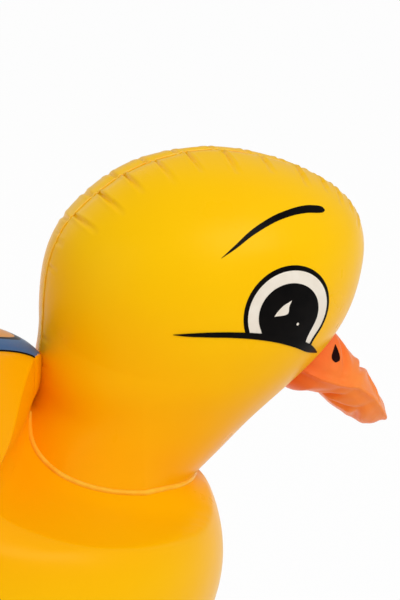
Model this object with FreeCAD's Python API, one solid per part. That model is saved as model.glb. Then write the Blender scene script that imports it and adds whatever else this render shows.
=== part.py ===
import FreeCAD, Part
# Floating chlorine dispenser: an inflatable vinyl duck that carries a tablet canister in a socket
# under its belly. Millimetres. +X is where the duck looks, +Y its left side, +Z up. The origin is
# the centre of the base cap's flat underside, on the canister's axis.
import math
import os

Vector = FreeCAD.Vector

# ---- Driving dimensions -------------------------------------------------------------------------

# Tablets, the consumable that sets the canister's size
tablet_diameter = 76.2
tablet_height = 25.4
tablet_count = 3
tablet_side_gap = 4.0
tablet_top_gap = 6.0

# Base cap with its ballast
cap_floor = 3.0
cap_height = 30.0
cap_skirt = 3.4
cap_rim = 1.5
cap_thread_gap = 0.5
cap_grip_count = 16
cap_grip_radius = 4.0
cap_grip_depth = 1.3
post_radius = 3.5
post_circle = 9.0
post_count = 3
ballast_height = 9.0
ballast_side_gap = 0.8
ballast_bore = 15.0
ballast_top_gap = 0.5
cover_thickness = 3.0
cover_gap = 0.3
screw_radius = 1.5
screw_head_radius = 2.8
screw_head_height = 1.6
screw_length = 9.0
chamber_wall = 4.5
seal_thickness = 1.5

# Grid on which the tablets lie
grid_gap = 0.5
grid_rim_height = 3.0
grid_rim_width = 4.5
grid_plate = 2.5
grid_hole_radius = 3.0
grid_ring_pitch = 10.0
grid_ring_count = 3

# Canister and its crown
canister_wall = 2.5
slot_count = 6
slot_angle = 20.0
slot_height = 16.0
slot_lift = 5.0
flange_thickness = 2.5
ledge_height = 1.2
ledge_width = 2.0
stop_angle = 6.0
stop_height = 2.6
crown_plate = 3.0
crown_spigot = 4.0
crown_spigot_wall = 2.0
crown_hole_radius = 2.5
crown_hole_count = 8
crown_hole_circle = 26.0

# Flow collar that turns over the canister's slots
collar_gap = 0.4
collar_wall = 2.8
collar_height = 26.0
collar_bead = 1.4
collar_bead_height = 4.0
collar_turn = 15.0
collar_stop_gap = 0.6
running_gap = 0.3

# Lock ring, a captive union nut
lock_lip = 3.0
lock_lip_gap = 1.0
lock_wall = 3.5
lock_wing_count = 6
lock_wing_reach = 3.5
lock_wing_width = 9.0
lock_top_gap = 1.4

# Socket in the bottom panel
socket_gap = 1.5
socket_wall = 2.0
socket_neck_wall = 4.0
socket_neck_length = 11.0
socket_flange_radius = 64.0
socket_flange = 1.6
socket_head_gap = 4.0

# Vinyl of the float
vinyl = 0.4

# Body, one lobe with a shelf in front that the neck stands on and a hump behind it
body_x = -33.0
body_half_length = 167.0
body_half_width = 130.0
body_height = 201.0
body_taper = 0.2

# Head and neck in one bulb
head_x = 127.0
head_half_length = 90.0
head_half_width = 66.5
head_foot = 98.0
head_height = 188.0

# Beak
beak_x = 188.0
beak_lift = 168.0
beak_pitch = 40.0
beak_root = 12.0
beak_reach = 65.0
beak_half_thickness = 18.0
beak_half_width = 31.5

# Saddle-shaped back panel
saddle_x = -62.0
saddle_half_length = 88.0
saddle_half_width = 56.0
saddle_taper = -0.35

# Inflation valve in the bottom panel
valve_x = -90.0
valve_flange_radius = 14.0
valve_flange = 1.0
valve_bore = 4.5
valve_wall = 1.5
valve_depth = 14.0
plug_gap = 0.08
plug_depth = 9.0
plug_head_radius = 8.0
plug_head = 1.5
plug_head_gap = 0.3
flap_thickness = 0.5
flap_hinge_reach = 1.5
strap_width = 5.0
strap_thickness = 1.0
strap_length = 5.0

# Tether tab in the chest seam, with its eyelet
tab_x = 118.0
tab_lift = 9.0
tab_radius = 11.0
tab_root = 16.0
tab_thickness = 0.8
eyelet_hole = 3.0
eyelet_wall = 0.8
eyelet_flange = 2.0
eyelet_flange_thickness = 0.6

# ---- Levels and radii worked out from them --------------------------------------------------------

canister_bore = tablet_diameter / 2 + tablet_side_gap
canister_radius = canister_bore + canister_wall

cap_bore = canister_radius + cap_thread_gap
cap_radius = cap_bore + cap_skirt
cover_bottom = cap_floor + ballast_height + ballast_top_gap
cover_top = cover_bottom + cover_thickness
chamber_radius = cap_bore - chamber_wall
grid_bottom = cover_top
grid_top = grid_bottom + grid_rim_height + grid_plate
canister_foot = cover_top + seal_thickness
canister_top = grid_top + tablet_count * tablet_height + tablet_top_gap

ledge_bottom = cap_height + 2 * running_gap
ledge_top = ledge_bottom + ledge_height
collar_bottom = ledge_top + running_gap
collar_top = collar_bottom + collar_height
collar_bore = canister_radius + collar_gap
collar_radius = collar_bore + collar_wall
slot_bottom = collar_bottom + slot_lift

lock_bottom = collar_top + 2 * running_gap
lock_lip_top = lock_bottom + lock_lip
flange_bottom = lock_lip_top + running_gap
flange_top = flange_bottom + flange_thickness
neck_bottom = flange_top + seal_thickness
neck_top = neck_bottom + socket_neck_length
panel_z = neck_top + socket_flange

socket_bore = canister_radius + socket_gap
socket_radius = socket_bore + socket_wall
neck_radius = socket_bore + socket_neck_wall
lock_bore = neck_radius + cap_thread_gap
lock_radius = lock_bore + lock_wall
socket_roof = canister_top + crown_plate + socket_head_gap

valve_radius = valve_bore + valve_wall
eyelet_radius = eyelet_hole + eyelet_wall

# Outlines of the inflated lobes. Each row is one level section, an oval, in percent of the lobe's
# own sizes: level in its height, rear and front in its half length, width in its half width.
BODY_ROWS = [
    (-9, -40, 60, 54),
    (0, -56, 75, 71),
    (11, -70, 88, 86),
    (23, -81, 95, 95),
    (36, -89, 98, 100),
    (46, -93, 96, 98.5),
    (51, -94.5, 92, 96.7),
    (54, -95.2, 86, 95.2),
    (56, -95.6, 75, 94),
    (58, -96, 63, 92.7),
    (60, -96.4, 53, 91.3),
    (63, -97, 45, 89),
    (66, -97.6, 39.5, 86.5),
    (70, -98.5, 38.3, 82.7),
    (76, -100, 40.2, 76),
    (83, -102, 41, 66),
    (88, -101, 41, 55),
    (92, -95, 37.5, 45),
    (95.5, -80, 30.5, 35),
    (98, -60, 22.5, 26),
    (99.2, -46, 14.5, 18),
    (99.8, -33.5, 5, 10.5),
    (100, -24, -4, 5.5),
]
HEAD_ROWS = [
    (0, -109, -17, 68),
    (7, -110, -7, 69),
    (12, -111, 5, 71),
    (19, -109, 21, 75),
    (27, -102, 42, 81),
    (36, -101, 65, 90),
    (42, -100, 78, 94),
    (47, -99, 86, 97),
    (53, -99, 93, 99),
    (62, -98, 99, 100),
    (70, -95, 101, 98),
    (77, -89, 98, 93),
    (83, -80, 90, 84),
    (89, -67, 75, 70),
    (95, -48, 49, 48),
    (98.4, -27, 26, 24),
    (100, -10, 8, 7),
]
# The beak's rows run from its root inside the head out to its tip. Rear is its upper side.
BEAK_ROWS = [
    (0, -100, 125, 85),
    (22, -103, 118, 97),
    (42, -89, 92, 100),
    (61, -67, 86, 89),
    (78, -45, 83, 68),
    (90, -28, 67, 46),
    (97, -16, 44, 25),
    (100, -3, 22, 9),
]


# Points on each oval, enough for a smooth closed curve
OVAL_POINTS = 24


# ---- Helpers --------------------------------------------------------------------------------------

def export(shape, node):
    shape.exportStep(f"parts/{node}.step")


def disc(radius, bottom, top, x=0.0, y=0.0):
    return Part.makeCylinder(radius, top - bottom, Vector(x, y, bottom))


def ring(inner, outer, bottom, top, x=0.0, y=0.0):
    return disc(outer, bottom, top, x, y).cut(disc(inner, bottom - 1, top + 1, x, y))


def around(shape, count, start=0.0):
    """Copies of a shape at equal steps round the Z axis."""
    copies = []
    for index in range(count):
        copy = shape.copy()
        copy.rotate(Vector(0, 0, 0), Vector(0, 0, 1), start + 360.0 * index / count)
        copies.append(copy)
    return copies


def sector(inner, outer, bottom, top, angle):
    """A piece of a ring, its middle on the -Y side."""
    full = Part.makeCylinder(outer, top - bottom, Vector(0, 0, bottom), Vector(0, 0, 1), angle)
    full.rotate(Vector(0, 0, 0), Vector(0, 0, 1), -90 - angle / 2)
    return full.cut(disc(inner, bottom - 1, top + 1))


def slab(low, high):
    """The space between two levels, wider than the whole float."""
    reach = 1000.0
    return Part.makeBox(2 * reach, 2 * reach, high - low, Vector(-reach, -reach, low))


def right_half(shape):
    """What lies on the right of the centre seam."""
    reach = 1000.0
    return shape.common(Part.makeBox(2 * reach, reach, 2 * reach, Vector(-reach, -reach, -reach)))


def mirrored(shape):
    return shape.mirror(Vector(0, 0, 0), Vector(0, 1, 0))


def both_sides(half):
    """A whole panel from its right half."""
    return half.fuse(mirrored(half))


def oval(rear, front, half_width, level, taper=0.0):
    """Points of a level oval, its ends on the X axis. A taper narrows its rear, and a negative one its front."""
    middle = (rear + front) / 2
    half_length = (front - rear) / 2
    points = []
    for index in range(OVAL_POINTS):
        # The first point is on the left side, so the closed surface's own seam stays off the right half
        angle = math.pi / 2 + 2 * math.pi * index / OVAL_POINTS
        across = half_width * math.sin(angle) * (1 + taper * math.cos(angle))
        points.append(Vector(middle + half_length * math.cos(angle), across, level))
    return points


def smooth_wire(points):
    curve = Part.BSplineCurve()
    curve.interpolate(points, PeriodicFlag=True)
    return Part.Wire(curve.toShape())


def drawn_in(ovals, skin):
    """The ovals of the air chamber: each point moved inwards, square to the surface, by the skin."""
    last = len(ovals) - 1
    result = []
    for row, points in enumerate(ovals):
        inner = []
        for index, point in enumerate(points):
            along = points[(index + 1) % OVAL_POINTS].sub(points[index - 1])
            up = ovals[min(row + 1, last)][index].sub(ovals[max(row - 1, 0)][index])
            normal = along.cross(up).normalize()
            inner.append(point.sub(normal * skin))
        if row in (0, last):
            level = points[0].z + (skin if row == 0 else -skin)
            inner = [Vector(point.x, point.y, level) for point in inner]
        result.append(inner)
    return result


def lobe(rows, half_length, half_width, foot, height, skin, taper=0.0):
    """An inflated body through its level sections, or its air chamber when a skin is given."""
    ovals = []
    for level, rear, front, width in rows:
        ovals.append(oval(
            rear / 100 * half_length,
            front / 100 * half_length,
            width / 100 * half_width,
            foot + level / 100 * height,
            taper,
        ))
    if skin:
        ovals = drawn_in(ovals, skin)
    return Part.makeLoft([smooth_wire(points) for points in ovals], True, False)


def moved(shape, x=0.0, y=0.0, z=0.0):
    shape.translate(Vector(x, y, z))
    return shape


# ---- The float's forms ----------------------------------------------------------------------------

def body_form(skin):
    form = lobe(BODY_ROWS, body_half_length, body_half_width, panel_z, body_height, skin, body_taper)
    return moved(form, body_x).common(slab(panel_z + skin, panel_z + 2 * body_height))


def head_form(skin):
    foot = panel_z + head_foot
    return moved(lobe(HEAD_ROWS, head_half_length, head_half_width, foot, head_height, skin), head_x)


def beak_form(skin):
    length = beak_root + beak_reach
    shape = lobe(BEAK_ROWS, beak_half_thickness, beak_half_width, -beak_root, length, skin)
    shape.rotate(Vector(0, 0, 0), Vector(0, 1, 0), 90 + beak_pitch)
    return moved(shape, beak_x, 0.0, panel_z + beak_lift)


def beak_upper_space():
    """The space above the beak's mouth seam."""
    reach = 200.0
    box = Part.makeBox(2 * reach, 2 * reach, reach, Vector(-reach, -reach, 0))
    box.rotate(Vector(0, 0, 0), Vector(0, 1, 0), beak_pitch)
    return moved(box, beak_x, 0.0, panel_z + beak_lift)


def saddle_space():
    """An upright oval prism that cuts the back panel out of the body's skin."""
    rear = saddle_x - saddle_half_length
    front = saddle_x + saddle_half_length
    level = panel_z + (head_foot + body_height) / 2
    face = Part.Face(smooth_wire(oval(rear, front, saddle_half_width, level, saddle_taper)))
    return face.extrude(Vector(0, 0, body_height))


# ---- Sub-parts ------------------------------------------------------------------------------------

def make_float():
    body_outer = right_half(body_form(0.0))
    body_skin = body_outer.cut(right_half(body_form(vinyl)))
    head_outer = right_half(head_form(0.0))
    head_inner = right_half(head_form(vinyl))
    beak_outer = right_half(beak_form(0.0))
    beak_inner = right_half(beak_form(vinyl))

    head_panel = head_outer.cut(head_inner).cut(body_outer).cut(beak_inner)
    export(head_panel, "head_right_panel")
    export(mirrored(head_panel), "head_left_panel")

    beak_skin = beak_outer.cut(beak_inner).cut(head_outer)
    upper = beak_upper_space()
    export(both_sides(beak_skin.common(upper)), "beak_upper_panel")
    export(both_sides(beak_skin.cut(upper)), "beak_lower_panel")

    walls = body_skin.common(slab(panel_z + vinyl, panel_z + 2 * body_height)).cut(head_inner)
    saddle = saddle_space()
    export(both_sides(walls.common(saddle)), "back_panel")
    body_panel = walls.cut(saddle)
    export(body_panel, "body_right_panel")
    export(mirrored(body_panel), "body_left_panel")

    floor = both_sides(body_skin.common(slab(panel_z - 1, panel_z + vinyl)))
    floor = floor.cut(disc(socket_radius, panel_z - 1, panel_z + 1))
    floor = floor.cut(disc(valve_radius, panel_z - 1, panel_z + 1, valve_x))
    export(floor, "bottom_panel")


def make_tether():
    body = body_form(0.0)
    level = panel_z + tab_lift
    half = tab_thickness / 2
    across = Vector(0, 1, 0)
    tab = Part.makeCylinder(tab_radius, tab_thickness, Vector(tab_x, -half, level), across)
    root = Part.makeBox(tab_root, tab_thickness, 2 * tab_radius, Vector(tab_x - tab_root, -half, level - tab_radius))
    hole = Part.makeCylinder(eyelet_radius, tab_thickness + 2, Vector(tab_x, -half - 1, level), across)
    tab = tab.fuse(root).cut(hole).cut(body).cut(slab(0, panel_z))
    export(tab, "tether_tab")

    length = tab_thickness + 2 * eyelet_flange_thickness
    barrel = Part.makeCylinder(eyelet_radius, length, Vector(tab_x, -length / 2, level), across)
    flange_radius = eyelet_radius + eyelet_flange
    for start in (-length / 2, half):
        flange = Part.makeCylinder(flange_radius, eyelet_flange_thickness, Vector(tab_x, start, level), across)
        barrel = barrel.fuse(flange)
    bore = Part.makeCylinder(eyelet_hole, length + 2, Vector(tab_x, -length / 2 - 1, level), across)
    export(barrel.cut(bore), "tether_eyelet")


def make_valve():
    bottom = panel_z - valve_flange
    top = panel_z + valve_depth
    flange = disc(valve_flange_radius, bottom, panel_z, valve_x)
    tube = disc(valve_radius, bottom, top, valve_x)
    hinge_width = valve_radius
    lug = Part.makeBox(
        flap_hinge_reach + valve_wall, hinge_width, valve_wall,
        Vector(valve_x - valve_radius - flap_hinge_reach, -hinge_width / 2, top - valve_wall),
    )
    seat = flange.fuse(tube).fuse(lug).cut(disc(valve_bore, bottom - 1, top + 1, valve_x))
    export(seat, "valve_seat")

    flap = disc(valve_radius, top, top + flap_thickness, valve_x)
    tongue = Part.makeBox(
        valve_radius + flap_hinge_reach, hinge_width, flap_thickness,
        Vector(valve_x - valve_radius - flap_hinge_reach, -hinge_width / 2, top),
    )
    export(flap.fuse(tongue).removeSplitter(), "valve_flap")

    head_top = bottom - plug_head_gap
    head = disc(plug_head_radius, head_top - plug_head, head_top, valve_x)
    stem = disc(valve_bore - plug_gap, head_top, bottom + plug_depth, valve_x)
    export(head.fuse(stem), "valve_plug")

    strap_start = plug_head_radius + running_gap
    strap = Part.makeBox(
        strap_width, strap_length, strap_thickness,
        Vector(valve_x - strap_width / 2, strap_start, bottom - strap_thickness),
    )
    export(strap, "valve_strap")


def make_socket():
    wall = ring(socket_bore, socket_radius, neck_bottom, socket_roof)
    roof = disc(socket_radius, socket_roof, socket_roof + socket_wall)
    neck = ring(socket_bore, neck_radius, neck_bottom, neck_top)
    flange = ring(socket_bore, socket_flange_radius, neck_top, panel_z)
    export(wall.fuse([roof, neck, flange]).removeSplitter(), "socket")
    export(ring(socket_bore + running_gap, neck_radius - running_gap, flange_top, neck_bottom), "socket_seal")


def make_lock_ring():
    top = neck_top - lock_top_gap
    lip = ring(canister_radius + lock_lip_gap, lock_radius, lock_bottom, lock_lip_top)
    skirt = ring(lock_bore, lock_radius, lock_lip_top, top)
    wing = Part.makeBox(
        lock_wing_width, lock_wing_reach + lock_wall / 2, top - lock_bottom,
        Vector(-lock_wing_width / 2, lock_radius - lock_wall / 2, lock_bottom),
    )
    body = lip.fuse(skirt).fuse(around(wing, lock_wing_count)).removeSplitter()
    export(body, "lock_ring")


def make_canister():
    tube = ring(canister_bore, canister_radius, canister_foot, canister_top)
    flange = ring(canister_bore, neck_radius, flange_bottom, flange_top)
    ledge = ring(canister_bore, canister_radius + ledge_width, ledge_bottom, ledge_top)
    stop = sector(canister_bore, canister_radius + ledge_width, ledge_top, ledge_top + stop_height, stop_angle)
    stop.rotate(Vector(0, 0, 0), Vector(0, 0, 1), 180)
    slot = sector(canister_bore - 1, canister_radius + 1, slot_bottom, slot_bottom + slot_height, slot_angle)
    body = tube.fuse([flange, ledge, stop]).removeSplitter()
    export(body.cut(Part.makeCompound(around(slot, slot_count))), "canister")

    spigot = ring(
        canister_bore - crown_spigot_wall, canister_bore, canister_top - crown_spigot, canister_top,
    )
    plate = disc(canister_radius, canister_top, canister_top + crown_plate)
    vent = disc(crown_hole_radius, canister_top - 1, canister_top + crown_plate + 1, crown_hole_circle)
    crown = plate.fuse(spigot).cut(Part.makeCompound(around(vent, crown_hole_count)))
    export(crown, "canister_crown")


def make_flow_collar():
    sleeve = ring(collar_bore, collar_radius, collar_bottom, collar_top)
    beads = [
        ring(collar_bore, collar_radius + collar_bead, collar_bottom, collar_bottom + collar_bead_height),
        ring(collar_bore, collar_radius + collar_bead, collar_top - collar_bead_height, collar_top),
    ]
    # At rest the collar stands half way, so its windows cover half of each slot
    window = sector(collar_bore - 1, collar_radius + 1, slot_bottom, slot_bottom + slot_height, slot_angle)
    windows = around(window, slot_count, slot_angle / 2)
    gap_angle = math.degrees(collar_stop_gap / collar_bore)
    notch_angle = stop_angle + 2 * collar_turn + 2 * gap_angle
    notch_top = ledge_top + stop_height + running_gap
    notch = sector(
        collar_bore - 1, canister_radius + ledge_width + running_gap, collar_bottom - 1, notch_top, notch_angle,
    )
    notch.rotate(Vector(0, 0, 0), Vector(0, 0, 1), 180)
    body = sleeve.fuse(beads).removeSplitter().cut(Part.makeCompound(windows)).cut(notch)
    export(body, "flow_collar")


def make_tablet_grid():
    radius = canister_bore - grid_gap
    rim = ring(radius - grid_rim_width, radius, grid_bottom, grid_bottom + grid_rim_height)
    plate = disc(radius, grid_bottom + grid_rim_height, grid_top)
    low = grid_bottom + grid_rim_height - 1
    holes = [disc(grid_hole_radius, low, grid_top + 1)]
    for row in range(1, grid_ring_count + 1):
        hole = disc(grid_hole_radius, low, grid_top + 1, row * grid_ring_pitch)
        holes += around(hole, 6 * row)
    export(plate.fuse(rim).removeSplitter().cut(Part.makeCompound(holes)), "tablet_grid")


def make_base_cap():
    outer = disc(cap_radius, 0, cap_height)
    foot = disc(cap_radius + cap_rim, 0, cap_floor)
    body = outer.fuse(foot)
    body = body.cut(disc(cap_bore, cover_top, cap_height + 1))
    body = body.cut(disc(chamber_radius, cap_floor, cover_top + 1))
    grip_centre = cap_radius - cap_grip_depth + cap_grip_radius
    grip = disc(cap_grip_radius, 2 * cap_floor, cap_height + 1, grip_centre)
    body = body.cut(Part.makeCompound(around(grip, cap_grip_count)))
    posts = around(disc(post_radius, cap_floor / 2, cover_bottom, post_circle), post_count)
    body = body.fuse(posts).removeSplitter()
    drill_bottom = cover_top - screw_length
    drills = around(disc(screw_radius, drill_bottom, cover_bottom + 1, post_circle), post_count)
    export(body.cut(Part.makeCompound(drills)), "base_cap")
    export(ring(canister_bore, canister_radius, cover_top, canister_foot), "cap_seal")
    ballast_radius = chamber_radius - ballast_side_gap
    export(ring(ballast_bore, ballast_radius, cap_floor, cap_floor + ballast_height), "ballast_ring")

    cover = disc(chamber_radius - cover_gap, cover_bottom, cover_top)
    holes = around(disc(screw_radius, cover_bottom - 1, cover_top + 1, post_circle), post_count)
    export(cover.cut(Part.makeCompound(holes)), "ballast_cover")
    shank = disc(screw_radius, drill_bottom, cover_top, post_circle)
    screw = shank.fuse(disc(screw_head_radius, cover_top, cover_top + screw_head_height, post_circle))
    export(Part.makeCompound(around(screw, post_count)), "cover_screws")


def main():
    os.makedirs("parts", exist_ok=True)
    make_float()
    make_tether()
    make_valve()
    make_socket()
    make_lock_ring()
    make_canister()
    make_flow_collar()
    make_tablet_grid()
    make_base_cap()


main()
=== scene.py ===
import math

import bpy
import numpy as np
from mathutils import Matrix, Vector
from mathutils.bvhtree import BVHTree
from mathutils.kdtree import KDTree


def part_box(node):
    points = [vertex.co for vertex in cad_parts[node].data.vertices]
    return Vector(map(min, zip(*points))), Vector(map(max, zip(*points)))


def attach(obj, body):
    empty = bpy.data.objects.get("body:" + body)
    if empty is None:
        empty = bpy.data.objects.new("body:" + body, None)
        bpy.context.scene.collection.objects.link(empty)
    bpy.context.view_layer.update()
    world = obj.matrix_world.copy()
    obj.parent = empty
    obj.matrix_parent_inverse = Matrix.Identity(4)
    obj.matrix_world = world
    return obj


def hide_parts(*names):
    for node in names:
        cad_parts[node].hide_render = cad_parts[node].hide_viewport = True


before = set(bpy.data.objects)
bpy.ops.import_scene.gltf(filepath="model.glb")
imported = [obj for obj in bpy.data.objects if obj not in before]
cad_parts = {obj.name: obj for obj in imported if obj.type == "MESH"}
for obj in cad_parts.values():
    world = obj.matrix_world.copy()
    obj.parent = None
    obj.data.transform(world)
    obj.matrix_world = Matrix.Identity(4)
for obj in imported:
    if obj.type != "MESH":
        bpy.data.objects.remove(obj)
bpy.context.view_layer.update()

bl_info = {
    "name": "Floating Chlorine Dispenser",
    "version": (1, 0, 0),
    "blender": (4, 5, 0),
    "location": "View3D > Sidebar > Dispenser",
    "description": "An inflatable duck float with the tablet canister under its belly",
    "category": "Object",
}

MM = 0.001
FINE_STEP = 0.5 * MM  # between the points of a line that creases are counted along
LINE_STEP = 1.0 * MM  # between the points of a line that a weld bead follows
RAY_REACH = 0.5  # farther than any skin from its form's middle
SEAM_REACH = 0.4  # from where the body's seams are looked for: above its back and outside its rim
CUTS = 19  # of each edge of the cube that a film form starts from
FAR_OFF = 12 * MM  # a skin farther from the rounded form than this is another wall

# The CAD nodes that each piece of film is drawn onto
HEAD_NODES = ("head_right_panel", "head_left_panel")
BEAK_NODES = ("beak_upper_panel", "beak_lower_panel")
BODY_NODES = ("body_right_panel", "body_left_panel", "back_panel", "bottom_panel")


# ---- Settings ------------------------------------------------------------------------------------

def colour_setting(name, description, default):
    """A colour a user may change, as an sRGB triple."""
    return bpy.props.FloatVectorProperty(
        name=name, description=description, subtype="COLOR_GAMMA", size=3, min=0.0, max=1.0,
        default=[int(default[i:i + 2], 16) / 255 for i in (1, 3, 5)],
    )


def length_setting(name, description, millimetres):
    """A size a user may change, in metres."""
    return bpy.props.FloatProperty(
        name=name, description=description, unit="LENGTH", subtype="DISTANCE", min=0.0, precision=4,
        default=millimetres * MM,
    )


def number_setting(name, description, default, **kind):
    """A strength, power or angle a user may change."""
    return bpy.props.FloatProperty(name=name, description=description, default=default, **kind)


class DispenserFilm(bpy.types.PropertyGroup):
    """Colours and sizes of the vinyl float."""
    # The crown, flank and belly yellows hold painted light and shade: the pale crown is the lit top of
    # the head, the deeper flank is the film in shade low on the neck and under the back, the belly is the
    # body's lower film.
    crown: colour_setting("Crown yellow", "Film on top of the head, stretched thinnest", "#FFC600")
    flank: colour_setting("Flank yellow", "Film low on the neck and on the body", "#FFA900")
    belly: colour_setting("Belly yellow", "Film low on the body", "#FFBE00")
    # The neck hem and hem yellows are painted highlights along the weld beads, paler only where light
    # catches them.
    foot_hem: colour_setting("Neck hem", "The hem at the foot of the neck", "#FFCC40")
    hem: colour_setting("Hem yellow", "Welded hems, pressed thin", "#FFD95A")
    beak: colour_setting("Beak orange", "Film of the beak", "#FF9142")
    back: colour_setting("Back blue", "Print on the back panel", "#41699A")
    mark: colour_setting("Back marks", "Oval marks printed on the back", "#E09E4C")
    ink: colour_setting("Ink black", "Printed outlines, lash, brow and pupil", "#040303")
    eye: colour_setting("Eye white", "Printed white of the eye", "#F1E8DA")
    weld: length_setting("Weld bead", "Half the thickness of a welded seam's bead", 0.4)
    crease_depth: length_setting("Crease depth", "How deep the film puckers at a weld", 2.8)
    crease_length: length_setting("Crease length", "How far a pucker runs from its weld", 32.0)
    crease_pitch: length_setting("Crease pitch", "Usual distance between two puckers", 18.0)


class DispenserPlastics(bpy.types.PropertyGroup):
    """Colours and sizes of the moulded parts."""
    shell: colour_setting("Canister white", "Moulded polypropylene of the canister and cap", "#ECEDEA")
    dial: colour_setting("Dial blue", "Moulded flow collar and lock ring", "#2F6FB3")
    socket: colour_setting("Socket", "Moulded socket in the float", "#E6E4DC")
    clear: colour_setting("Valve", "Soft milky vinyl of the valve", "#E3E4DF")
    rubber: colour_setting("Seals", "Moulded rubber", "#1C1C1E")
    round_over: length_setting("Round-over", "Bevel on moulded edges", 0.45)


class DispenserStudio(bpy.types.PropertyGroup):
    """The stage, lamps and camera."""
    floor: colour_setting("Floor", "Pale studio floor", "#F4F4F2")
    room: number_setting("Room light", "Strength of the even light", 0.57)
    key: number_setting("Key lamp", "Power of the large lamp", 9.5, unit="POWER")
    fill: number_setting("Fill lamp", "Power of the two fill lamps", 2.6, unit="POWER")
    azimuth: number_setting("Camera azimuth", "Turn round the object", math.radians(-20), subtype="ANGLE")
    elevation: number_setting("Camera elevation", "Height of the view", math.radians(15), subtype="ANGLE")
    distance: length_setting("Camera distance", "From the head's middle", 1600.0)
    focal: number_setting("Focal length", "Lens in millimetres", 174.5)


# ---- Material nodes ------------------------------------------------------------------------------

BLACK_SHEEN = "#0D0A09"  # painted sheen: a lighter black mixed into the black ink in patches, where its gloss would catch light


def linear(colour):
    """A linear RGBA from an sRGB triple or hex value."""
    if isinstance(colour, str):
        colour = [int(colour[i:i + 2], 16) / 255 for i in (1, 3, 5)]
    flat = [c / 12.92 if c <= 0.04045 else ((c + 0.055) / 1.055) ** 2.4 for c in colour]
    return (*flat, 1.0)


def add_node(tree, kind, settings=None, links=None):
    """One node with its settings, and what feeds its sockets."""
    made = tree.nodes.new(kind)
    for key, value in (settings or {}).items():
        if isinstance(key, str) and hasattr(made, key):
            setattr(made, key, value)
        else:
            made.inputs[key].default_value = value
    for key, source in (links or {}).items():
        tree.links.new(source, made.inputs[key])
    return made


def new_material(name):
    """An empty node material and its tree."""
    material = bpy.data.materials.new(name)
    material.use_nodes = True
    material.node_tree.nodes.clear()
    return material, material.node_tree


def end_material(tree, settings, links):
    """Closes a material with its surface shader."""
    shader = add_node(tree, "ShaderNodeBsdfPrincipled", settings, links)
    add_node(tree, "ShaderNodeOutputMaterial", links={"Surface": shader.outputs["BSDF"]})


def grain(tree, place, size, detail=2.0, rough=0.5):
    """Noise whose lumps are about that many metres across."""
    return add_node(
        tree, "ShaderNodeTexNoise", {"Scale": 1.0 / size, "Detail": detail, "Roughness": rough},
        {"Vector": place},
    ).outputs["Fac"]


def spread(tree, value, low, high):
    """The middle of a noise's range, stretched to run from low to high."""
    return add_node(
        tree, "ShaderNodeMapRange", {1: 0.3, 2: 0.7, 3: low, 4: high}, {0: value},
    ).outputs[0]


def soft_step(tree, value, low, high, first=0.0, last=1.0):
    """A smooth change from first to last, while the value goes from low to high."""
    return add_node(
        tree, "ShaderNodeMapRange",
        {"interpolation_type": "SMOOTHSTEP", 1: low, 2: high, 3: first, 4: last}, {0: value},
    ).outputs[0]


def blend_colour(tree, amount, first, second):
    """A mix of two colours, each a constant or a socket."""
    settings, links = {"data_type": "RGBA", "clamp_factor": True}, {0: amount}
    for index, value in ((6, first), (7, second)):
        (links if hasattr(value, "node") else settings)[index] = value
    return add_node(tree, "ShaderNodeMix", settings, links).outputs[2]


def calculate(tree, operation, first, second):
    """One step of arithmetic on two values, each a constant or a socket."""
    settings, links = {"operation": operation}, {}
    for index, value in ((0, first), (1, second)):
        (links if hasattr(value, "node") else settings)[index] = value
    return add_node(tree, "ShaderNodeMath", settings, links).outputs[0]


def film_surface(tree, place, colour, gloss=0.3, tint=(1.0, 0.8, 0.35, 1.0)):
    """Calendered PVC film: a satin skin, a faint orange peel and slack waves a few centimetres long.
    Its pigment lies in the gloss too, so the highlight is weak and takes the film's own tint."""
    peel = grain(tree, place, 1.6 * MM, 1.0)
    slack = grain(tree, place, 22.0 * MM, 2.0)
    waves = add_node(
        tree, "ShaderNodeBump", {"Strength": 0.12, "Distance": 1.2 * MM}, {"Height": slack},
    )
    bump = add_node(
        tree, "ShaderNodeBump", {"Strength": 0.05, "Distance": 0.1 * MM},
        {"Height": peel, "Normal": waves.outputs[0]},
    )
    rough = spread(tree, grain(tree, place, 30.0 * MM, 3.0), gloss - 0.03, gloss + 0.05)
    end_material(
        tree,
        {
            "IOR": 1.53, "Specular IOR Level": 0.13, "Specular Tint": tint,
            "Coat Weight": 0.03, "Coat Roughness": 0.4,
        },
        {"Base Color": colour, "Roughness": rough, "Normal": bump.outputs[0]},
    )


def object_place(tree):
    """Object coordinates, in metres."""
    return add_node(tree, "ShaderNodeTexCoord").outputs["Object"]


def yellow_tone(tree, place):
    """The yellow of the film with painted light and shade: paler where it sees most sky, up the neck and
    forward of the nape, and deeper orange low on the neck and on the body under the back, where it lies
    in shade.
    """
    film = bpy.context.scene.dispenser_film
    axes = add_node(tree, "ShaderNodeSeparateXYZ", links={0: place}).outputs
    # Painted light and shade up the neck, forward of the nape, and up the body: the axis, and where each
    # starts and ends
    height, front, flank_shade = (
        soft_step(tree, axes[axis], low, high)
        for axis, low, high in ((2, 0.15, 0.33), (0, 0.0, 0.06), (2, 0.16, 0.215))
    )
    cloud = spread(tree, grain(tree, place, 60.0 * MM, 2.0), -0.06, 0.06)
    painted_light = calculate(tree, "ADD", calculate(tree, "MULTIPLY", height, front), cloud)
    flank = blend_colour(tree, flank_shade, linear(film.belly), linear(film.flank))
    return blend_colour(tree, painted_light, flank, linear(film.crown))


def yellow_film():
    """Calendered PVC film, 0.35 mm, yellow."""
    material, tree = new_material("calendered_pvc_yellow_with_painted_light")
    place = object_place(tree)
    film_surface(tree, place, yellow_tone(tree, place))
    return material


def weld_film(name, painted_light):
    """Heat-welded hem of the yellow film, a little glossier, with a paler colour that is a painted
    highlight along the bead.
    """
    film = bpy.context.scene.dispenser_film
    material, tree = new_material(name)
    place = object_place(tree)
    tint = spread(tree, grain(tree, place, 9.0 * MM, 2.0), 0.0, 0.6)
    film_surface(tree, place, blend_colour(tree, tint, linear(painted_light), linear(film.flank)), 0.24)
    return material


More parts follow.
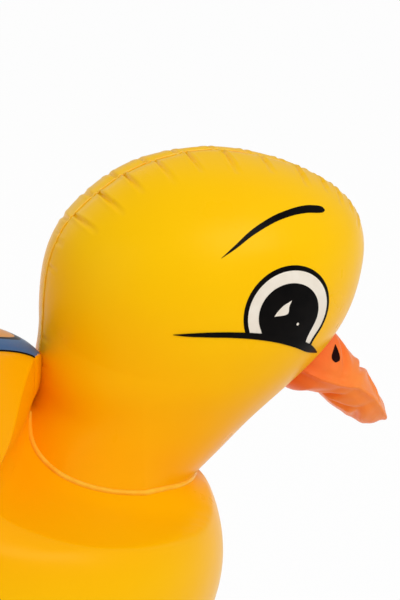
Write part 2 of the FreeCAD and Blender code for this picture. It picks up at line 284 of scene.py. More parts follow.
def orange_film():
    """Calendered PVC film, soft orange, slack; painted shade makes it redder by the weld at its foot."""
    film = bpy.context.scene.dispenser_film
    material, tree = new_material("calendered_pvc_orange_with_painted_shade")
    place = object_place(tree)
    tint = spread(tree, grain(tree, place, 14.0 * MM, 2.0), 0.0, 1.0)
    colour = blend_colour(tree, tint, linear(film.beak), linear("#FF8338"))
    axes = add_node(tree, "ShaderNodeSeparateXYZ", links={0: place}).outputs
    # The beak points 40 degrees down: 0.766 and 0.643 are that angle's cosine and sine
    forward = calculate(tree, "MULTIPLY", axes[0], 0.766)
    along = calculate(tree, "SUBTRACT", forward, calculate(tree, "MULTIPLY", axes[2], 0.643))
    # Painted shade: the film turns red toward the beak's root, where it lies in shade by the head.
    foot = soft_step(tree, along, -0.022, 0.012, 0.8, 0.0)
    colour = blend_colour(tree, foot, colour, linear("#F4692F"))
    film_surface(tree, place, colour, 0.34)
    return material


def ink(name, colour, tone_and_sheen):
    """Screen-printed vinyl ink: a thin even layer that follows the film, with a faint screen grain."""
    material, tree = new_material(name)
    place = object_place(tree)
    # The second colour is a painted sheen on the black ink, and a random tone on the white and maroon
    # inks.
    tone = spread(tree, grain(tree, place, 9.0 * MM, 3.0), 0.0, 1.0)
    shade = blend_colour(tree, tone, linear(colour), linear(tone_and_sheen))
    screen = grain(tree, place, 0.8 * MM, 1.0)
    bump = add_node(
        tree, "ShaderNodeBump", {"Strength": 0.06, "Distance": 0.05 * MM}, {"Height": screen},
    )
    end_material(
        tree, {"IOR": 1.5, "Specular IOR Level": 0.04, "Roughness": 0.3},
        {"Base Color": shade, "Normal": bump.outputs[0]},
    )
    return material


def oval_field(tree, place, centre, half_length, half_width, taper=0.0):
    """How far a point lies out in a level oval: 1 on its edge. A taper narrows one end."""
    axes = add_node(tree, "ShaderNodeSeparateXYZ", links={0: place}).outputs
    along = calculate(tree, "DIVIDE", calculate(tree, "SUBTRACT", axes[0], centre[0]), half_length)
    across = calculate(tree, "SUBTRACT", axes[1], centre[1])
    if taper:
        width = calculate(tree, "MULTIPLY_ADD", along, taper)
        width.node.inputs[2].default_value = 1.0
        across = calculate(tree, "DIVIDE", across, width)
    across = calculate(tree, "DIVIDE", across, half_width)
    squares = (calculate(tree, "MULTIPLY", part, part) for part in (along, across))
    return calculate(tree, "SQRT", calculate(tree, "ADD", *squares), 0.0)


def inside(tree, field, edge):
    """1 within the edge of an oval and 0 outside it, with a rim as soft as screen print."""
    soft = 0.003
    return add_node(
        tree, "ShaderNodeMapRange", {1: edge - soft, 2: edge + soft, 3: 1.0, 4: 0.0}, {0: field},
    ).outputs[0]


def back_film(saddle):
    """Printed PVC film: flat blue ink with plain oval marks, both with black outlines, and the film's
    own yellow left bare as a margin to weld."""
    film = bpy.context.scene.dispenser_film
    material, tree = new_material("printed_pvc_back")
    place = object_place(tree)
    x, half_length, half_width, taper = saddle
    cloud = spread(tree, grain(tree, place, 25.0 * MM, 2.0), 0.0, 0.35)
    colour = blend_colour(tree, cloud, linear(film.back), linear("#355D8C"))
    marks = [
        ((x - 2 * MM, 0.0), half_length * 0.64, half_width * 0.58),
        ((x - 50 * MM, half_width * 0.82), half_length * 0.22, half_width * 0.1),
        ((x - 50 * MM, -half_width * 0.82), half_length * 0.22, half_width * 0.1),
    ]
    for centre, length, width in marks:
        field = oval_field(tree, place, centre, length, width)
        line = 1.0 + 1.3 * MM / width
        colour = blend_colour(tree, inside(tree, field, line), colour, linear(film.ink))
        colour = blend_colour(tree, inside(tree, field, 1.0), colour, linear(film.mark))
    rim = oval_field(tree, place, (x, 0.0), half_length, half_width, taper)
    colour = blend_colour(tree, inside(tree, rim, 0.965), linear(film.ink), colour)
    # The bare margin takes the yellow with its painted light and shade.
    colour = blend_colour(tree, inside(tree, rim, 1.0), yellow_tone(tree, place), colour)
    film_surface(tree, place, colour, tint=(1.0, 1.0, 1.0, 1.0))
    return material


def moulded_plastic(name, colour, tint, rough, bloom=0.05):
    """Injection-moulded plastic: even colour, a fine spark-eroded mould grain and slight sink marks."""
    material, tree = new_material(name)
    place = object_place(tree)
    tone = spread(tree, grain(tree, place, 35.0 * MM, 3.0), 0.0, 1.0)
    shade = blend_colour(tree, tone, linear(colour), linear(tint))
    texture = grain(tree, place, 0.5 * MM, 2.0, 0.6)
    sink = grain(tree, place, 16.0 * MM, 1.0)
    low = add_node(
        tree, "ShaderNodeBump", {"Strength": 0.06, "Distance": 0.3 * MM}, {"Height": sink},
    )
    bump = add_node(
        tree, "ShaderNodeBump", {"Strength": 0.10, "Distance": 0.05 * MM},
        {"Height": texture, "Normal": low.outputs[0]},
    )
    roughness = spread(tree, grain(tree, place, 12.0 * MM, 3.0), rough - bloom, rough + bloom)
    end_material(
        tree, {"IOR": 1.5}, {"Base Color": shade, "Roughness": roughness, "Normal": bump.outputs[0]},
    )
    return material


def milky_vinyl(colour):
    """Soft clear PVC, moulded: milky, with some light inside, glossy from the polished mould."""
    material, tree = new_material("soft_pvc_milky")
    place = object_place(tree)
    tone = spread(tree, grain(tree, place, 5.0 * MM, 2.0), 0.0, 1.0)
    shade = blend_colour(tree, tone, linear(colour), linear("#D2D5D2"))
    end_material(
        tree,
        {
            "IOR": 1.52, "Roughness": 0.22,
            "Subsurface Weight": 0.35, "Subsurface Radius": (0.004, 0.004, 0.0035),
        },
        {"Base Color": shade},
    )
    return material


def rubber(colour):
    """Moulded EPDM rubber: near black, dull, with the grey bloom of sulphur-cured seals."""
    material, tree = new_material("epdm_rubber")
    place = object_place(tree)
    bloom = spread(tree, grain(tree, place, 6.0 * MM, 4.0), 0.0, 1.0)
    shade = blend_colour(tree, bloom, linear(colour), linear("#2B2B2C"))
    texture = grain(tree, place, 0.6 * MM, 2.0)
    bump = add_node(
        tree, "ShaderNodeBump", {"Strength": 0.2, "Distance": 0.05 * MM}, {"Height": texture},
    )
    end_material(
        tree, {"IOR": 1.5, "Roughness": 0.72}, {"Base Color": shade, "Normal": bump.outputs[0]},
    )
    return material


def cast_iron():
    """Sand-cast iron under a dip coat: dark grey, pebbled by 0.8 mm sand, semi-matt."""
    material, tree = new_material("dipped_cast_iron")
    place = object_place(tree)
    sand = grain(tree, place, 0.9 * MM, 3.0, 0.6)
    tone = spread(tree, grain(tree, place, 8.0 * MM, 3.0), 0.0, 1.0)
    shade = blend_colour(tree, tone, linear("#3A3B3D"), linear("#4A4A4A"))
    bump = add_node(
        tree, "ShaderNodeBump", {"Strength": 0.5, "Distance": 0.2 * MM}, {"Height": sand},
    )
    end_material(
        tree, {"Roughness": 0.55, "Metallic": 0.35}, {"Base Color": shade, "Normal": bump.outputs[0]},
    )
    return material


def stainless():
    """Stamped and tumbled stainless steel: fine random scratches, slightly uneven gloss."""
    material, tree = new_material("tumbled_stainless_steel")
    place = object_place(tree)
    wear = grain(tree, place, 0.7 * MM, 4.0, 0.6)
    tone = spread(tree, wear, 0.0, 1.0)
    shade = blend_colour(tree, tone, linear("#C9C9C8"), linear("#B4B5B6"))
    rough = spread(tree, wear, 0.2, 0.34)
    bump = add_node(
        tree, "ShaderNodeBump", {"Strength": 0.08, "Distance": 0.03 * MM}, {"Height": wear},
    )
    end_material(
        tree, {"Metallic": 1.0}, {"Base Color": shade, "Roughness": rough, "Normal": bump.outputs[0]},
    )
    return material


# ---- Modelling helpers ---------------------------------------------------------------------------

def deselect():
    """Leaves edit mode and selects nothing."""
    if bpy.context.object and bpy.context.object.mode != "OBJECT":
        bpy.ops.object.mode_set(mode="OBJECT")
    bpy.ops.object.select_all(action="DESELECT")


def make_active(piece):
    """Selects one piece alone and makes it the active one."""
    deselect()
    piece.select_set(True)
    bpy.context.view_layer.objects.active = piece


def rows_of(items, name, width=3, kind=float):
    """One property of every vertex, edge or face, as the rows of an array."""
    flat = np.empty(len(items) * width, dtype=kind)
    items.foreach_get(name, flat)
    return flat.reshape(-1, width)


def coordinates(mesh):
    """Vertex places as an array."""
    return rows_of(mesh.vertices, "co")


def normals_of(mesh):
    """Vertex normals as an array."""
    return rows_of(mesh.vertices, "normal")


def edge_pairs(mesh):
    """The vertex pair of every edge."""
    return rows_of(mesh.edges, "vertices", 2, int)


def face_centres(mesh):
    """Face centres as an array."""
    return rows_of(mesh.polygons, "center")


def move_to(mesh, points):
    """Puts the vertices at new places."""
    mesh.vertices.foreach_set("co", np.asarray(points, dtype=float).reshape(-1))
    mesh.update()


def tree_of(*meshes):
    """A ray target made of one or more meshes."""
    points, faces = [], []
    for mesh in meshes:
        start = len(points)
        points += [vertex.co.copy() for vertex in mesh.vertices]
        faces += [[start + index for index in face.vertices] for face in mesh.polygons]
    return BVHTree.FromPolygons(points, faces)


def modify(piece, kind, **settings):
    """Adds a modifier and applies it."""
    make_active(piece)
    bpy.ops.object.modifier_add(type=kind)
    modifier = piece.modifiers[-1]
    for key, value in settings.items():
        setattr(modifier, key, value)
    bpy.ops.object.modifier_apply(modifier=modifier.name)


def dress(piece, body, material, nodes=()):
    """Gives a finished piece its material, smooth faces and its body, and hides the CAD nodes it stands
    for.
    """
    piece.data.materials.clear()
    piece.data.materials.append(material)
    make_active(piece)
    bpy.ops.object.shade_smooth()
    piece.data.name = piece.name
    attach(piece, body)
    if nodes:
        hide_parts(*nodes)


def inflated(name, centre, nodes, levels, smoothing, settle=None, relax=4):
    """A cube rounded to a ball inside the CAD skin, then pressed out onto it and smoothed like blown
    film. Where the skin has an opening, the form is carried over it, and settle may lay it lower."""
    deselect()
    bpy.ops.mesh.primitive_cube_add(size=20 * MM, location=centre)
    piece = bpy.context.object
    piece.name = name
    bpy.ops.object.transform_apply(location=True, rotation=True, scale=True)
    bpy.ops.object.mode_set(mode="EDIT")
    bpy.ops.mesh.select_all(action="SELECT")
    bpy.ops.mesh.subdivide(number_cuts=CUTS)
    bpy.ops.object.mode_set(mode="OBJECT")
    target = tree_of(*(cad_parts[node].data for node in nodes))
    middle = np.array(centre)
    rays = coordinates(piece.data) - middle
    # Equal angles rather than equal steps on the cube's faces, so the cells come out nearly even
    rays = np.tan(rays / (10 * MM) * math.pi / 4)
    rays /= np.linalg.norm(rays, axis=1)[:, None]
    radii = skin_radii(target, middle, rays)
    open_ones = np.isnan(radii)
    radii[open_ones] = np.nanmean(radii)
    even_out(radii, open_ones, edge_pairs(piece.data), 400)
    points = middle + rays * radii[:, None]
    if settle:
        settle(points, open_ones)
    move_to(piece.data, points)
    modify(piece, "SMOOTH", factor=0.5, iterations=smoothing)
    modify(piece, "SUBSURF", levels=levels, render_levels=levels)
    # The fine mesh is pressed onto the skin once more, and relaxed so that no facet shows
    points = coordinates(piece.data)
    move_to(piece.data, pressed(target, middle, points, edge_pairs(piece.data)))
    modify(piece, "SMOOTH", factor=0.5, iterations=relax)
    if settle:
        points = coordinates(piece.data)
        settle(points, np.zeros(len(points), dtype=bool))
        move_to(piece.data, points)
        modify(piece, "SMOOTH", factor=0.5, iterations=relax)
    return piece


def pressed(target, middle, points, pairs):
    """Points moved along their rays from a middle onto the skin. Over an opening, and where the skin
    is far off, they follow their neighbours."""
    rays = points - middle
    radii = np.linalg.norm(rays, axis=1)
    rays /= radii[:, None]
    shift = skin_radii(target, middle, rays) - radii
    gone = ~(np.abs(shift) < FAR_OFF)
    shift[gone] = 0.0
    even_out(shift, gone, pairs, 200)
    return points + rays * shift[:, None]


def skin_radii(target, middle, rays):
    """How far from the middle the skin lies along each ray, and nan where the skin is open."""
    radii = np.full(len(rays), np.nan)
    for index, ray in enumerate(rays):
        start = Vector(middle + ray * RAY_REACH)
        hit = target.ray_cast(start, -Vector(ray), RAY_REACH)[3]
        if hit is not None:
            radii[index] = RAY_REACH - hit
    return radii


def even_out(values, gaps, pairs, rounds):
    """Fills the values at the gaps from their neighbours' mean, round by round."""
    count = np.bincount(pairs.ravel(), minlength=len(values))
    for _ in range(rounds):
        total = np.bincount(pairs[:, 0], values[pairs[:, 1]], len(values))
        total += np.bincount(pairs[:, 1], values[pairs[:, 0]], len(values))
        values[gaps] = (total / count)[gaps]


def level_seam(piece):
    """Puts the middle edge loop exactly in the centre plane."""
    points = coordinates(piece.data)
    middle = np.abs(points[:, 1]) < 0.25 * MM
    points[middle, 1] = 0.0
    move_to(piece.data, points)


def full_turn(count):
    """Angles at equal steps once round, with the first again at the end."""
    return [2 * math.pi * index / count for index in range(count + 1)]


def ray_round(angle):
    """A level ray at an angle round the upright axis."""
    return Vector((math.cos(angle), math.sin(angle), 0.0))


def raised(line, centre, height):
    """A line moved straight away from a middle point."""
    middle = np.array(centre)
    away = line - middle
    return middle + away * (1 + height / np.linalg.norm(away, axis=1))[:, None]


def centre_line(piece, centre, step):
    """The piece's outline in the centre plane, in order round a middle point, at even steps."""
    points = coordinates(piece.data)
    points = points[points[:, 1] == 0.0]
    angles = np.arctan2(points[:, 2] - centre[2], points[:, 0] - centre[0])
    ring = points[np.argsort(angles)]
    return even_steps(np.vstack([ring, ring[:1]]), step)


def even_steps(line, step):
    """A line of points redrawn at equal steps."""
    lengths = np.linalg.norm(np.diff(line, axis=0), axis=1)
    along = np.concatenate([[0.0], np.cumsum(lengths)])
    count = max(2, int(round(along[-1] / step)))
    places = np.linspace(0.0, along[-1], count + 1)
    return np.column_stack([np.interp(places, along, line[:, axis]) for axis in range(3)])


def pucker(piece, line, creases, reach, groove, groove_width):
    """Presses creases into the film, square to a weld line that lies in a groove. A crease is its
    place along the line, its side (-1 right, 1 left, 0 both), its length, half width and depth."""
    mesh = piece.data
    points, normals = coordinates(mesh), normals_of(mesh)
    middle = points[:, 1] == 0.0
    finder = KDTree(len(line))
    for index, point in enumerate(line):
        finder.insert(Vector(point), index)
    finder.balance()
    step = np.linalg.norm(line[1] - line[0])
    low, high = line.min(0) - reach, line.max(0) + reach
    near = np.where(np.all((points > low) & (points < high), axis=1))[0]
    along, away = np.zeros(len(near)), np.full(len(near), reach * 2)
    for row, index in enumerate(near):
        _, place, distance = finder.find(Vector(points[index]))
        along[row], away[row] = place * step, distance
    kept = away < reach
    near, along, away = near[kept], along[kept], away[kept]
    side = np.sign(points[near, 1])
    nearest = np.minimum((along / step).round().astype(int), len(line) - 1)
    groove = np.broadcast_to(groove, len(line))[nearest]
    push = -groove * np.exp(-(away / groove_width) ** 2)
    for place, hand, length, width, depth in creases:
        here = (np.abs(along - place) < 12 * MM) & (away < length)
        if hand:
            here &= (side == hand) | (side == 0)
        if not here.any():
            continue
        share = away[here] / length
        across = (along[here] - place) / (width * (0.75 + 0.7 * share))
        profile = -np.exp(-across ** 2) + 0.34 * np.exp(-(np.abs(across) - 1.75) ** 2 / 0.6)
        fade = np.clip(0.35 + away[here] / (5.0 * MM), 0, 1) * (1 - share) ** 0.8
        push[here] += depth * fade * profile
    points[near] += normals[near] * push[:, None]
    points[middle, 1] = 0.0
    move_to(mesh, points)


def creases_along(length, pitch, reach, width, depth, seed, hands=(-1, 1)):
    """Creases at uneven steps along a weld, each side of it on its own."""
    draw = np.random.default_rng(seed)
    made = []
    for hand in hands:
        place = pitch * draw.uniform(0.2, 0.8)
        while place < length:
            made.append((
                place, hand, reach * draw.uniform(0.6, 1.05), width * draw.uniform(0.85, 1.25),
                depth * draw.uniform(0.55, 1.1),
            ))
            place += pitch * draw.uniform(0.7, 1.3)
    return made


def bead(name, line, radius, closed, material):
    """A weld bead on the float, a round line that lies half sunk in the film."""
    curve = bpy.data.curves.new(name, "CURVE")
    curve.dimensions = "3D"
    spline = curve.splines.new("POLY")
    rows = line[:-1] if closed else line
    spline.points.add(len(rows) - 1)
    for point, place in zip(spline.points, rows):
        point.co = (*place, 1.0)
    spline.use_cyclic_u = closed
    curve.bevel_depth = radius
    curve.bevel_resolution = 2
    curve.use_fill_caps = not closed
    piece = bpy.data.objects.new(name, curve)
    bpy.context.scene.collection.objects.link(piece)
    make_active(piece)
    bpy.ops.object.convert(target="MESH")
    dress(bpy.context.object, "float", material)


def split_off(piece, chosen, name):
    """Takes the chosen faces away into a new object."""
    make_active(piece)
    bpy.ops.object.mode_set(mode="EDIT")
    bpy.ops.mesh.select_mode(type="FACE")
    bpy.ops.mesh.select_all(action="DESELECT")
    bpy.ops.object.mode_set(mode="OBJECT")
    piece.data.polygons.foreach_set("select", np.asarray(chosen, dtype=bool))
    bpy.ops.object.mode_set(mode="EDIT")
    bpy.ops.mesh.separate(type="SELECTED")
    bpy.ops.object.mode_set(mode="OBJECT")
    part = [other for other in bpy.context.selected_objects if other != piece][0]
    part.name = name
    return part


def drop_faces(piece, chosen):
    """Deletes the chosen faces."""
    part = split_off(piece, chosen, "scrap")
    bpy.data.objects.remove(part)


def depth_inside(target, points):
    """How deep each point lies inside a closed form; negative outside it."""
    depths = np.empty(len(points))
    for index, point in enumerate(points):
        spot = Vector(point)
        near, normal, _, _ = target.find_nearest(spot)
        depths[index] = -(spot - near).dot(normal)
    return depths


def smooth_through(points, count):
    """A smooth line through a few points, at equal steps."""
    knots = np.array(points, dtype=float)
    padded = np.vstack([2 * knots[0] - knots[1], knots, 2 * knots[-1] - knots[-2]])
    rows = []
    for index in range(1, len(padded) - 2):
        p0, p1, p2, p3 = padded[index - 1:index + 3]
        for t in np.linspace(0, 1, 24, endpoint=False):
            rows.append(0.5 * (
                2 * p1 + (p2 - p0) * t + (2 * p0 - 5 * p1 + 4 * p2 - p3) * t ** 2
                + (3 * p1 - p0 - 3 * p2 + p3) * t ** 3
            ))
    rows.append(knots[-1])
    line = np.array(rows)
    along = np.concatenate([[0.0], np.cumsum(np.linalg.norm(np.diff(line[:, :2], axis=0), axis=1))])
    places = np.linspace(0, along[-1], count)
    return np.column_stack([np.interp(places, along, line[:, axis]) for axis in range(line.shape[1])])


# ---- The float -----------------------------------------------------------------------------------

# Middle points of the three inflated forms, in metres
HEAD_CENTRE = (0.122, 0.0, 0.272)
BODY_CENTRE = (-0.030, 0.0, 0.135)
BEAK_CENTRE = (0.204, 0.0, 0.233)
NECK_AXIS = (0.076, 0.0)
RIM_HEIGHT = 5 * MM  # of the bottom weld over the bottom panel's lowest point
SOCKET_HOLE = 55 * MM  # radius that the bottom film leaves open
# Above this level the body is the shelf and hump that the neck stands between
SHELF_LEVEL = 0.17
# The shelf under the neck: its level at the throat, where it starts to rise, its run and its slope
SHELF = (0.181, 0.09, 0.08, 0.26)
# The hump's front: its place in the middle, how much it falls back to each side, and the level
# under which its foot runs forward
HUMP_FRONT, HUMP_SWEEP, HUMP_FOOT = 37.0 * MM, 0.52, 0.213
# A hollow in the hump's front: depth, level and half height
HUMP_HOLLOW = (7 * MM, 0.219, 0.013)
# The oval on the shelf that the neck's weld draws up, in millimetres, and by how much: behind and
# at the throat
NECK_RADII = (50, 47)
WELD_LIFT, THROAT_EASE = 9.5, 3.2
NECK_WALL_FOOT = 0.166  # how far down the neck's wall is carried, below the shelf
# The creases over the crown: where the first one is, at the nape, and the distance to each next one
CROWN_START = (55.6 * MM, 0.0, 333 * MM)
CROWN_GAPS = (0, 18, 17, 19, 18, 21, 22, 21, 15, 11, 11, 9)
HEM_LIFT = 0.3 * MM  # of a hem's middle over the film
# The beak's root, how far down it points, and the stations along it, in millimetres
BEAK_ROOT = (188.0, 0.0, 246.6)
BEAK_PITCH = math.radians(40)
BEAK_STATIONS = (-6.0, 66.0, 1.5)
# The beak's side outline and mouth line: how far along it and how high, in millimetres
BEAK_TOP = (
    (-6, 20.0), (8.4, 18), (25.4, 14.2), (39.7, 9.5), (51.3, 6.3), (58, 4.2), (62, 1.5), (66, -1.5),
)
BEAK_FOOT = (
    (-6, -30.0), (6, -24), (13, -18), (19, -13.7), (29.5, -15.4), (38.7, -15.6), (55.5, -14.8),
    (61, -12), (66, -7),
)
BEAK_SEAM = ((-6, -10.6), (5.5, -8.7), (17, -4.5), (28, 0.8), (43, 1.0), (53, -1.0), (66, -4.0))
# Folds in the slack film: place along and across, which panel, slant, half width, half length, depth
BEAK_FOLDS = (
    (20, -17, -1, 0.55, 4.0, 9, 2.6), (30, -13, 1, -0.35, 3.5, 8, 2.0), (41, -12, 1, 0.75, 3.2, 8, 2.4),
    (46, -12, -1, -0.5, 4.0, 9, 1.8), (12, -20, 1, 0.3, 4.0, 10, 1.6), (33, -16, -1, 1.0, 4.5, 10, 1.5),
    (22, 16, -1, -0.5, 4.0, 9, 2.2), (36, 14, 1, 0.4, 3.5, 9, 2.2), (47, 10, 1, -0.8, 3.2, 8, 2.0),
    (14, 19, 1, -0.4, 4.0, 10, 1.6), (40, 13, -1, 0.6, 4.0, 9, 1.8), (52, 3, 1, 0.2, 3.5, 9, 1.4),
)
# The forms, lines and finishes that one operator leaves for the next
forms = {}


def saddle_oval():
    """The back panel's level outline: middle, half length, half width and taper."""
    low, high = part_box("back_panel")
    tail, neck = low.x, high.x + 34 * MM
    return (tail + neck) / 2, (neck - tail) / 2, 41.0 * MM, -0.45


class DISPENSER_OT_body(bpy.types.Operator):
    """Blow up the body and draw its shelf up round the neck's weld"""
    bl_idname = "dispenser.body"
    bl_label = "Body panels"

    def execute(self, context):
        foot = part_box("bottom_panel")[0].z

        def settle(points, open_ones):
            """Keeps the bottom flat over the socket's hole, and the shelf low under the neck."""
            points[:, 2] = np.maximum(points[:, 2], foot)
            level, start, run, slope = SHELF
            shelf = level + np.clip(start - points[:, 0], 0, run) * slope
            under = open_ones & (points[:, 2] > BODY_CENTRE[2])
            points[under, 2] = np.minimum(points[under, 2], shelf[under])
            # The hump ends square against the nape, and only its foot runs on beside the neck
            limit = HUMP_FRONT - HUMP_SWEEP * np.abs(points[:, 1])
            limit = limit + np.clip(HUMP_FOOT - points[:, 2], 0, 1) ** 2 / 0.012
            depth, level, half_height = HUMP_HOLLOW
            limit -= depth * np.exp(-((points[:, 2] - level) / half_height) ** 2)
            hump = points[:, 2] > SHELF_LEVEL
            points[hump, 0] = np.minimum(points[hump, 0], limit[hump])

        body = inflated("float_body", BODY_CENTRE, BODY_NODES, 3, 2, settle)
        # The neck's weld draws the shelf up all round, and least at the throat
        points = coordinates(body.data)
        offset = (points[:, :2] / MM - np.array(NECK_AXIS) / MM) / NECK_RADII
        far = np.linalg.norm(offset, axis=1)
        ahead = np.clip(offset[:, 0] / np.maximum(far, 0.1), 0, 1)
        lift = (WELD_LIFT - THROAT_EASE * ahead) * np.exp(-((far - 0.9) / 0.4) ** 2)
        from_below = np.clip((points[:, 2] - 0.15) / 0.02, 0, 1)
        from_above = np.clip((0.25 - points[:, 2]) / 0.03, 0, 1)
        points[:, 2] += lift * MM * from_below * from_above
        move_to(body.data, points)
        level_seam(body)
        forms["body"] = body
        forms["body_tree"] = tree_of(body.data)
        return {"FINISHED"}


class DISPENSER_OT_head(bpy.types.Operator):
    """Blow up the head and neck, pucker it along the centre weld and cut it into two panels"""
    bl_idname = "dispenser.head"
    bl_label = "Head panels"

    def execute(self, context):
        film = context.scene.dispenser_film

        def settle(points, open_ones):
            """Carries the neck's wall on down below the body's shelf, but not the beak's opening."""
            foot = open_ones & (points[:, 2] < 0.24) & (points[:, 0] < 0.14)
            points[foot, 2] = NECK_WALL_FOOT

        head = inflated("float_head", HEAD_CENTRE, HEAD_NODES, 3, 2, settle)
        level_seam(head)
        flare_neck(head, meeting_line(tree_of(head.data), forms["body_tree"], 96))
        level_seam(head)
        neck = meeting_line(tree_of(head.data), forms["body_tree"], 96)
        line = centre_line(head, HEAD_CENTRE, FINE_STEP)
        forms["neck_line"] = even_steps(neck, LINE_STEP)
        # The line runs from the brow back to the nape, so the places over the crown count down
        start = nearest_place(line, CROWN_START)
        places = start - np.cumsum(CROWN_GAPS) * MM
        creases = []
        for index, place in enumerate(places):
            depth = film.crease_depth * (1.0 if index % 3 else 0.8)
            reach = film.crease_length * (1.0 if index % 2 else 0.88)
            creases.append((place, -1, reach, 1.15 * MM, depth))
            far_side = (place + 4 * MM, 1, film.crease_length, 1.4 * MM, film.crease_depth * 0.6)
            creases.append(far_side)
        # Smaller creases beyond the crown's: down the nape, and from the brow on down
        total = FINE_STEP * (len(line) - 1)
        for crease in creases_along(
            total, film.crease_pitch, film.crease_length * 0.5, 1.2 * MM, film.crease_depth * 0.3, 11,
        ):
            if start + 12 * MM < crease[0] < start + 45 * MM or crease[0] < places[-1] - 9 * MM:
                creases.append(crease)
        # The weld lies in a groove over the crown, which fades out at both ends
        run = np.arange(len(line)) * FINE_STEP
        crown = np.clip((start + 6 * MM - run) / (30 * MM), 0, 1)
        crown *= np.clip((run - places[-1] + 15 * MM) / (20 * MM), 0, 1)
        groove = 1.5 * MM * (0.08 + 0.92 * crown)
        pucker(head, line, creases, film.crease_length * 1.05, groove, 5.0 * MM)
        forms["head_line"] = centre_line(head, HEAD_CENTRE, LINE_STEP)
        forms["head_tree"] = tree_of(head.data)
        drop_faces(head, buried(head, "body_tree", 0.24, -1) > 4 * MM)
        left = split_off(head, face_centres(head.data)[:, 1] > 0, "head_left_film")
        head.name = "head_right_film"
        dress_panels("yellow", yellow_film, (head, "head_right_panel"), (left, "head_left_panel"))
        return {"FINISHED"}


def buried(piece, form, level, way):
    """How deep each face of a piece lies inside a form, looked up above (1) or below (-1) a level."""
    centres = face_centres(piece.data)
    looked_up = centres[:, 2] * way > level * way
    depths = np.full(len(centres), -1.0)
    depths[looked_up] = depth_inside(forms[form], centres[looked_up])
    return depths


def dress_panels(key, maker, *panels):
    """Dresses pieces of the float's film, each in place of its own CAD panel."""
    material = material_of(key, maker)
    for piece, node in panels:
        dress(piece, "float", material, [node])


def flare_neck(head, line):
    """Spreads the foot of the neck where it is welded to the body, and rounds the head out."""
    points = coordinates(head.data)
    offset = points[:, :2] - np.array(NECK_AXIS)
    turn = np.arctan2(offset[:, 1], offset[:, 0])
    line_turn = np.unwrap(np.arctan2(line[:, 1] - NECK_AXIS[1], line[:, 0] - NECK_AXIS[0]))
    # Heights over the weld, and how far the wall goes out there, are in millimetres
    height = points[:, 2] - np.interp(turn % (2 * math.pi), line_turn, line[:, 2])
    height /= MM
    front = np.clip(np.cos(turn), 0, 1) ** 0.7
    side = 5.0 * np.clip(1 - height / 60, 0, 1.3)
    throat = 1.6 * np.exp(-((height - 20) / 16) ** 2)
    nape = 6.0 * np.clip(0.3 - np.cos(turn), 0, 1) * np.clip(1 - height / 25, 0, 1.2) ** 2
    spread_out = (side * (1 - front) + throat * front + nape) * MM
    reach = np.linalg.norm(offset, axis=1)
    near = (points[:, 2] < 0.3) & (reach > 10 * MM)
    points[near, :2] += (offset / reach[:, None] * spread_out[:, None])[near]
    # Pressure rounds the head out a little, most at the brow and hardly at the crown
    brow = np.clip((points[:, 0] - 0.12) / 0.08, 0, 1)
    crown = np.clip((points[:, 2] - 0.33) / 0.03, 0, 1)
    points += normals_of(head.data) * ((1.2 + brow - 1.1 * crown) * MM)[:, None]
    move_to(head.data, points)


def nearest_place(line, point):
    """How far along a line a point lies."""
    step = np.linalg.norm(line[1] - line[0])
    return int(np.argmin(np.linalg.norm(line - np.array(point), axis=1))) * step


def meeting_line(upper, lower, count):
    """The line round the neck where the head's film meets the body's."""
    rows = []
    reach = 0.25
    for ray in map(ray_round, full_turn(count)):
        # The height is halved down to between a level inside the body and one above it
        bottom, top = 0.165, 0.235
        for _ in range(18):
            level = (bottom + top) / 2
            start = Vector((*NECK_AXIS, level)) + ray * reach
            spot = upper.ray_cast(start, -ray, reach)[0]
            if spot is None:
                bottom = level
                continue
            near, normal, _, _ = lower.find_nearest(spot)
            if (spot - near).dot(normal) > 0:
                top, found = level, spot
            else:
                bottom = level
        rows.append(found)
    return np.array(rows)


def material_of(key, maker, *values):
    """A finish made once and kept for the next piece."""
    if key not in forms:
        forms[key] = maker(*values)
    return forms[key]


